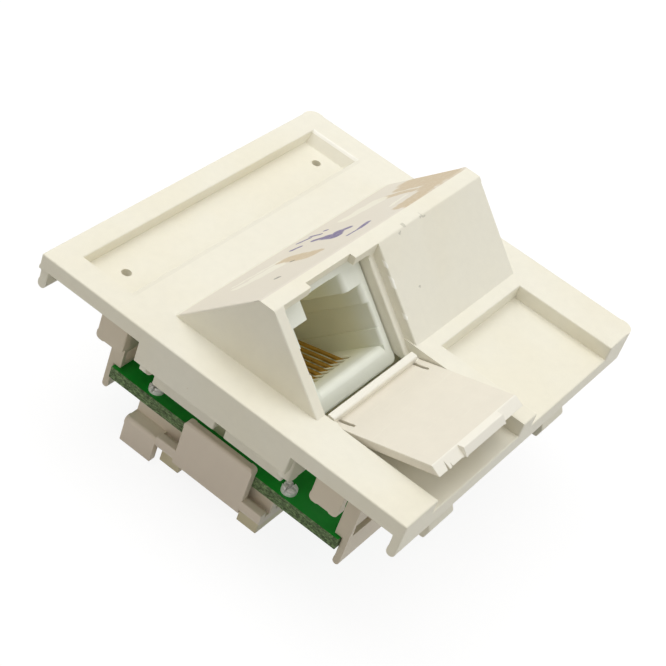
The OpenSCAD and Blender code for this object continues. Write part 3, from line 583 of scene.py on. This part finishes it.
def door_ivory(colours):
    """Dust door's ivory, a little pinker, with rubbed marks across it and painted light on its sill bar
    and end.
    """
    material, bench = new_finish("door_ivory")
    place = bench.place()
    mottle = bench.noise(place, 0.5, 4.0, 0.6)
    grain = bench.noise(place, 7.0, 3.0, 0.6)
    streak = bench.noise(bench.vector("MULTIPLY", place, (0.35, 3.0, 3.0)), 1.0, 3.0, 0.65)
    rubbed = bench.fade(streak, 0.55, 0.75)
    tone = bench.tint(colours.door, 0.95 + 0.08 * mottle)
    _, y, z = bench.axes(place)
    # Painted light on the sill bar and the door's end
    sill = bench.fade(y, SILL_Y - SILL_SOFT, SILL_Y + SILL_SOFT)
    sine = math.sin(DOOR_TILT)
    cosine = math.cos(DOOR_TILT)
    end = (y - HINGE_Y) * (sine - cosine) + (z - HINGE_Z) * (sine + cosine)
    tip = bench.fade(end, DOOR_END - TIP_FADE[0], DOOR_END - TIP_FADE[1])
    colour = bench.blend(bench.blend(tone, colours.ivory, 0.35 * rubbed), colours.sill, sill | 0.85 * tip)
    dirt = specks(bench, place, 0.3, 0.05, 0.14)
    bench.surface({
        "Base Color": bench.blend(colour, colours.tan_patch, 0.6 * dirt),
        "Roughness": 0.4 + 0.12 * mottle - 0.08 * rubbed,
        "Normal": bench.bump(grain + 0.4 * mottle, 0.012 * MM),
        "IOR": 1.5,
    })
    return material


def jack_white(colours):
    """Jack's white, greenish partly from painted light bounced off the board, with a painted yellow tint
    of light bounced inside it that grows with the depth behind its front.
    """
    material, bench = new_finish("jack_white")
    place = bench.place()
    _, y, z = bench.axes(place)
    # Painted tint of light bounced inside the jack, growing with depth
    inside = bench.fade((y - z - JACK_FRONT) / ROOT2, *JACK_BOUNCE_DEPTHS)
    cloud = bench.noise(place, 0.3, 3.0, 0.55)
    grain = bench.noise(place, 5.0, 3.0, 0.6)
    tone = bench.blend(colours.jack, colours.jack_bounce, inside)
    bench.surface({
        "Base Color": bench.tint(tone, 0.95 + 0.08 * cloud),
        "Roughness": 0.34 + 0.1 * cloud + 0.12 * inside,
        "Normal": bench.bump(grain + 0.5 * cloud, 0.01 * MM),
        "IOR": 1.5,
    })
    return material


def moulded_plastic(name, colour, dull, per_mm, depth):
    """A plain moulding: cloudy tone, flow streaks and a fine grain."""
    material, bench = new_finish(name)
    place = bench.place()
    cloud = bench.noise(place, 0.3 * per_mm, 3.0, 0.55)
    flow = bench.noise(bench.vector("MULTIPLY", place, (1.0, 1.0, 0.25)), per_mm, 4.0, 0.6)
    grain = bench.noise(place, 6.0 * per_mm, 3.0, 0.6)
    tone = bench.tint(colour, 0.93 + 0.08 * cloud + 0.06 * flow)
    dirt = specks(bench, place, 0.5 * per_mm, 0.06, 0.15)
    dark = tuple(0.45 * c for c in colour)
    bench.surface({
        "Base Color": bench.blend(tone, dark, 0.5 * dirt),
        "Roughness": dull + 0.12 * (flow - 0.5),
        "Normal": bench.bump(grain + 0.5 * flow, depth),
        "IOR": 1.5,
    })
    return material


def drawn_metal(name, colour, dull):
    """Plated or tinned metal with drawing lines and slight tarnish."""
    material, bench = new_finish(name)
    place = bench.place()
    lines = bench.noise(bench.vector("MULTIPLY", place, (6.0, 0.8, 0.8)), 2.0, 3.0, 0.6)
    tarnish = bench.fade(bench.noise(place, 0.7, 3.0, 0.6), 0.4, 0.7)
    dark = tuple(0.55 * c for c in colour)
    bench.surface({
        "Base Color": bench.blend(colour, dark, 0.45 * tarnish),
        "Metallic": 1.0,
        "Roughness": dull + 0.18 * tarnish + 0.08 * lines,
        "Normal": bench.bump(lines, 0.004 * MM),
    })
    return material


def green_board(colours):
    """Solder mask on both faces and mottled glass fibre on the cut edges."""
    material, bench = new_finish("green_board")
    place = bench.place()
    x, y = bench.axes(place)[:2]
    beyond_x = abs(x) - (BOARD_HIGH[0] / MM - CUT_RIM)
    beyond_y = abs(y) - (BOARD_HIGH[1] / MM - CUT_RIM)
    cut = bench.fade(beyond_x | beyond_y, -CUT_SOFT, CUT_SOFT)
    cloud = bench.noise(place, 0.25, 3.0, 0.6)
    weave = bench.noise(bench.vector("MULTIPLY", place, (1.0, 1.0, 6.0)), 1.6, 4.0, 0.7)
    fibre = bench.noise(bench.vector("MULTIPLY", place, (2.2, 2.2, 5.0)), 1.1, 5.0, 0.75)
    # Tan painted shade where the board shows past the jack
    gap_shade = bench.box_mask(place, GAP_SHADE_MIDDLE, GAP_SHADE_HALF)
    mask = bench.blend(bench.tint(colours.mask, 0.7 + 0.6 * cloud), GAP_SHADE_TAN, gap_shade)
    pale = tuple(min(1.0, 2.6 * c) for c in colours.laminate)
    dark = tuple(0.35 * c for c in colours.laminate)
    edge = bench.node("ShaderNodeValToRGB", {
        "stops": [(0.36, dark), (0.5, tuple(colours.laminate)), (0.66, pale)]}, {"Fac": fibre}, "Color")
    bench.surface({
        "Base Color": bench.blend(mask, edge, cut),
        "Roughness": 0.38 + 0.1 * weave + 0.4 * cut,
        "Specular IOR Level": 0.3,
        "Normal": bench.bump(weave * (1 - cut) * 0.4 + fibre * cut, 0.03 * MM),
        "IOR": 1.5,
    })
    return material


def select_only(piece):
    bpy.ops.object.select_all(action="DESELECT")
    piece.select_set(True)
    bpy.context.view_layer.objects.active = piece


def room_across(loop):
    """Free width of a face beside one of its edges."""
    start = loop.vert.co
    run = loop.link_loop_next.vert.co - start
    along = run.normalized()
    inward = loop.face.normal.cross(along)
    room = math.inf
    for share in PROBES:
        here = share * run.length
        for other in loop.face.loops:
            if other is loop:
                continue
            first = other.vert.co - start
            last = other.link_loop_next.vert.co - start
            before = first.dot(along) - here
            after = last.dot(along) - here
            if before * after > 0 or abs(before - after) < LEVEL:
                continue
            depth = (first.dot(inward) * after - last.dot(inward) * before) / (after - before)
            if depth > MERGE:
                room = min(room, depth)
    return room


def sharp_length(edge, end, radius):
    """Length at one end of an edge that stays sharp, because other edges crowd it there."""
    away = edge.other_vert(end).co - end.co
    length = 0.0
    for other in end.link_edges:
        if other is edge:
            continue
        if other.calc_length() < NEIGHBOUR_NEEDED * radius:
            length = max(length, NEIGHBOUR_NEEDED * radius)
        lean = away.angle(other.other_vert(end).co - end.co)
        if lean < SHARP_ANGLE:
            length = max(length, LEAN_ROOM * radius / math.tan(max(lean, LEAST_LEAN)))
    return length


def mark_edges(shape, radius):
    """Gives a bevel weight to each outer edge, or the length of it, that has room to be rounded."""
    weight = shape.edges.layers.float.new("bevel_weight_edge")
    plans = []
    for edge in shape.edges:
        if not edge.is_manifold or edge.calc_face_angle_signed(0) < SHARP_ANGLE:
            continue
        if min(room_across(loop) for loop in edge.link_loops) < ROOM_NEEDED * radius:
            continue
        lengths = [sharp_length(edge, end, radius) for end in edge.verts]
        if edge.calc_length() - sum(lengths) > RUN_NEEDED * radius:
            plans.append((edge, list(edge.verts), lengths))
    for edge, ends, lengths in plans:
        part = edge
        for end, length in zip(ends, lengths):
            if length:
                made, _ = bmesh.utils.edge_split(part, end, length / part.calc_length())
                part = next(piece for piece in (part, made) if end not in piece.verts)
        part[weight] = 1


def smooth_corners(mesh):
    """Gives each corner the mean normal of the faces round it that nearly face its own way."""
    around = [[] for _ in mesh.vertices]
    for face in mesh.polygons:
        for index in face.vertices:
            around[index].append(face.index)
    facing = [face.normal.copy() for face in mesh.polygons]
    areas = [face.area for face in mesh.polygons]
    limit = math.cos(SMOOTH_ANGLE)
    normals = []
    for face in mesh.polygons:
        for index in face.vertices:
            total = Vector()
            for other in around[index]:
                if facing[other].dot(face.normal) > limit:
                    total += facing[other] * areas[other]
            normals.append(total.normalized())
    mesh.normals_split_custom_set(normals)


def eased_copy(node, radius, steps):
    """Copies a solid and rounds its outer edges, working in millimetres."""
    select_only(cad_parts[node])
    bpy.ops.object.duplicate()
    piece = bpy.context.active_object
    piece.name = node + "_eased"
    for key in list(piece.keys()):
        del piece[key]
    piece.parent = None
    piece.data.transform(Matrix.Scale(1 / MM, 4))
    bpy.ops.object.mode_set(mode="EDIT")
    bpy.ops.mesh.select_all(action="SELECT")
    bpy.ops.mesh.remove_doubles(threshold=MERGE)
    bpy.ops.mesh.dissolve_limited(angle_limit=FLAT_ANGLE)
    bpy.ops.object.mode_set(mode="OBJECT")
    shape = bmesh.new()
    shape.from_mesh(piece.data)
    mark_edges(shape, radius / MM)
    shape.to_mesh(piece.data)
    shape.free()
    edges = piece.modifiers.new("Edges", "BEVEL")
    edges.width = radius / MM
    edges.segments = steps
    edges.limit_method = "WEIGHT"
    edges.use_clamp_overlap = False
    edges.miter_outer = "MITER_ARC"
    edges.loop_slide = False
    bpy.ops.object.modifier_apply(modifier=edges.name)
    bpy.ops.object.shade_smooth()
    piece.data.transform(Matrix.Scale(MM, 4))
    smooth_corners(piece.data)
    return piece


def dress(piece, finish, body):
    piece.data.materials.clear()
    piece.data.materials.append(finish)
    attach(piece, body)


def like_nodes(prefix):
    """Names of the solids that begin alike."""
    return [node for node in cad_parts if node.startswith(prefix)]


def ease_nodes(nodes, radius, finish, body):
    """Puts an eased copy in the place of each solid."""
    steps = bpy.context.scene.outlet_edges.steps
    for node in nodes:
        piece = eased_copy(node, radius, steps)
        dress(piece, finish, body)
        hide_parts(node)


def set_camera(scene, stage):
    camera = bpy.data.cameras.new("photo_camera")
    camera.lens = stage.lens
    camera.sensor_width = SENSOR
    camera.sensor_fit = "HORIZONTAL"
    camera.shift_x = stage.shift[0]
    camera.shift_y = stage.shift[1]
    camera.clip_start = CLIP_START
    holder = bpy.data.objects.new("photo_camera", camera)
    holder.location = stage.camera_place
    holder.rotation_euler = stage.camera_turn
    scene.collection.objects.link(holder)
    scene.camera = holder


def add_lamp(name, place, size, power, colour):
    """A square lamp that faces the middle of the part."""
    lamp = bpy.data.lights.new(name, "AREA")
    lamp.size = size
    lamp.energy = power
    lamp.color = colour
    holder = bpy.data.objects.new(name, lamp)
    middle = Vector((0, 0, FACE_Z * MM))
    holder.location = place
    holder.rotation_euler = (middle - Vector(place)).to_track_quat("-Z", "Y").to_euler()
    bpy.context.scene.collection.objects.link(holder)


def seen_directly(bench):
    """1 for rays from the camera, from a gloss or through something clear."""
    camera = bench.node("ShaderNodeLightPath", out="Is Camera Ray")
    return camera | camera.output("Is Glossy Ray") | camera.output("Is Transmission Ray")


def lay_floor(stage):
    """A pale floor that looks white and still shows the part's shadow."""
    bpy.ops.object.select_all(action="DESELECT")
    bpy.ops.mesh.primitive_plane_add(size=stage.floor_size, location=(0, 0, CAD_BOX[0][2]))
    floor = bpy.context.active_object
    floor.name = "floor"
    material, bench = new_finish("pale_floor")
    lit = bench.node("ShaderNodeBsdfDiffuse", None, {"Color": FLOOR_LIT})
    shadowed = bench.node("ShaderNodeBsdfDiffuse", None, {"Color": FLOOR_SEEN})
    glow = bench.node("ShaderNodeEmission", None, {"Color": WHITE, "Strength": FLOOR_GLOW})
    white = bench.node("ShaderNodeAddShader", None, {"Shader": shadowed, "Shader_001": glow})
    mixed = bench.node("ShaderNodeMixShader", None, {
        "Fac": seen_directly(bench), "Shader": lit, "Shader_001": white})
    bench.node("ShaderNodeOutputMaterial", None, {"Surface": mixed})
    floor.data.materials.append(material)


def light_sky(scene, stage):
    """Even light from all around, with a white background behind it."""
    world = bpy.data.worlds.new("studio")
    scene.world = world
    bench = Bench(world)
    soft = bench.node("ShaderNodeBackground", None, {"Color": SKY_TINT, "Strength": stage.sky})
    white = bench.node("ShaderNodeBackground", None, {"Color": WHITE, "Strength": 1.0})
    mixed = bench.node("ShaderNodeMixShader", None, {
        "Fac": seen_directly(bench), "Shader": soft, "Shader_001": white})
    bench.node("ShaderNodeOutputWorld", None, {"Surface": mixed})


class OUTLET_OT_face_plate(Operator):
    """Ease and finish the face plate"""

    bl_idname = "outlet.face_plate"
    bl_label = "Face plate"

    def execute(self, context):
        scene = context.scene
        finish = aged_ivory(scene.outlet_colours)
        ease_nodes(["face_plate"], scene.outlet_edges.plate, finish, "base")
        return {"FINISHED"}


class OUTLET_OT_dust_door(Operator):
    """Ease and finish the hinged dust door"""

    bl_idname = "outlet.dust_door"
    bl_label = "Dust door"

    def execute(self, context):
        scene = context.scene
        finish = door_ivory(scene.outlet_colours)
        ease_nodes(["port_door"], scene.outlet_edges.door, finish, "door")
        return {"FINISHED"}


class OUTLET_OT_jack(Operator):
    """Ease and finish the jack's housing"""

    bl_idname = "outlet.jack"
    bl_label = "Jack"

    def execute(self, context):
        scene = context.scene
        finish = jack_white(scene.outlet_colours)
        ease_nodes(["jack_housing"], scene.outlet_edges.jack, finish, "base")
        return {"FINISHED"}


class OUTLET_OT_contact_wires(Operator):
    """Ease and plate the jack's contact wires"""

    bl_idname = "outlet.contact_wires"
    bl_label = "Contact wires"

    def execute(self, context):
        scene = context.scene
        finish = drawn_metal("gold_plating", tuple(scene.outlet_colours.gold), 0.24)
        ease_nodes(like_nodes("jack_contact_"), scene.outlet_edges.wire, finish, "base")
        return {"FINISHED"}


class OUTLET_OT_board(Operator):
    """Ease and finish the circuit board"""

    bl_idname = "outlet.board"
    bl_label = "Circuit board"

    def execute(self, context):
        scene = context.scene
        finish = green_board(scene.outlet_colours)
        ease_nodes(["circuit_board"], scene.outlet_edges.board, finish, "base")
        return {"FINISHED"}


class OUTLET_OT_carrier(Operator):
    """Ease and finish the rear carrier"""

    bl_idname = "outlet.carrier"
    bl_label = "Rear carrier"

    def execute(self, context):
        scene = context.scene
        finish = moulded_plastic("rear_beige", tuple(scene.outlet_colours.rear), 0.45, 0.7, 0.012 * MM)
        ease_nodes(["rear_carrier"], scene.outlet_edges.rear, finish, "base")
        return {"FINISHED"}


class OUTLET_OT_strips(Operator):
    """Ease and finish the termination strips"""

    bl_idname = "outlet.strips"
    bl_label = "Termination strips"

    def execute(self, context):
        scene = context.scene
        finish = moulded_plastic("strip_cream", tuple(scene.outlet_colours.strip), 0.45, 0.8, 0.012 * MM)
        ease_nodes(like_nodes("idc_block_"), scene.outlet_edges.strip, finish, "base")
        return {"FINISHED"}


class OUTLET_OT_blades(Operator):
    """Ease and tin the forked blades"""

    bl_idname = "outlet.blades"
    bl_label = "Forked blades"

    def execute(self, context):
        scene = context.scene
        finish = drawn_metal("bright_tin", tuple(scene.outlet_colours.tin), 0.3)
        ease_nodes(like_nodes("idc_contact_"), scene.outlet_edges.wire, finish, "base")
        return {"FINISHED"}


class OUTLET_OT_split_pins(Operator):
    """Ease and finish the split pins"""

    bl_idname = "outlet.split_pins"
    bl_label = "Split pins"

    def execute(self, context):
        scene = context.scene
        finish = moulded_plastic("pin_white", tuple(scene.outlet_colours.nylon), 0.35, 1.5, 0.006 * MM)
        ease_nodes(like_nodes("board_pin_"), scene.outlet_edges.pin, finish, "base")
        return {"FINISHED"}


class OUTLET_OT_stage(Operator):
    """Set up the camera, the lamps, the floor and the background"""

    bl_idname = "outlet.stage"
    bl_label = "Stage"

    def execute(self, context):
        scene = context.scene
        stage = scene.outlet_stage
        set_camera(scene, stage)
        for name, (place, size, colour) in LAMPS.items():
            add_lamp(name, place, size, getattr(stage, name), colour)
        lay_floor(stage)
        light_sky(scene, stage)
        scene.view_settings.view_transform = "Standard"
        return {"FINISHED"}


STEPS = [
    OUTLET_OT_face_plate,
    OUTLET_OT_dust_door,
    OUTLET_OT_jack,
    OUTLET_OT_contact_wires,
    OUTLET_OT_board,
    OUTLET_OT_carrier,
    OUTLET_OT_strips,
    OUTLET_OT_blades,
    OUTLET_OT_split_pins,
    OUTLET_OT_stage,
]


class OUTLET_PT_panel(Panel):
    """Steps that dress the outlet insert"""

    bl_idname = "OUTLET_PT_panel"
    bl_label = "Outlet insert"
    bl_space_type = "VIEW_3D"
    bl_region_type = "UI"
    bl_category = "Outlet"

    def draw(self, context):
        column = self.layout.column()
        for step in STEPS:
            column.operator(step.bl_idname)


SETTINGS = {"outlet_edges": OutletEdges, "outlet_colours": OutletColours, "outlet_stage": OutletStage}


def register():
    for settings in SETTINGS.values():
        bpy.utils.register_class(settings)
    for name, settings in SETTINGS.items():
        setattr(bpy.types.Scene, name, PointerProperty(type=settings))
    for step in STEPS:
        bpy.utils.register_class(step)
    bpy.utils.register_class(OUTLET_PT_panel)


def unregister():
    bpy.utils.unregister_class(OUTLET_PT_panel)
    for step in reversed(STEPS):
        bpy.utils.unregister_class(step)
    for name in SETTINGS:
        delattr(bpy.types.Scene, name)
    for settings in SETTINGS.values():
        bpy.utils.unregister_class(settings)


def main():
    register()
    bpy.ops.outlet.face_plate()
    bpy.ops.outlet.dust_door()
    bpy.ops.outlet.jack()
    bpy.ops.outlet.contact_wires()
    bpy.ops.outlet.board()
    bpy.ops.outlet.carrier()
    bpy.ops.outlet.strips()
    bpy.ops.outlet.blades()
    bpy.ops.outlet.split_pins()
    bpy.ops.outlet.stage()


if __name__ == "__main__":
    main()
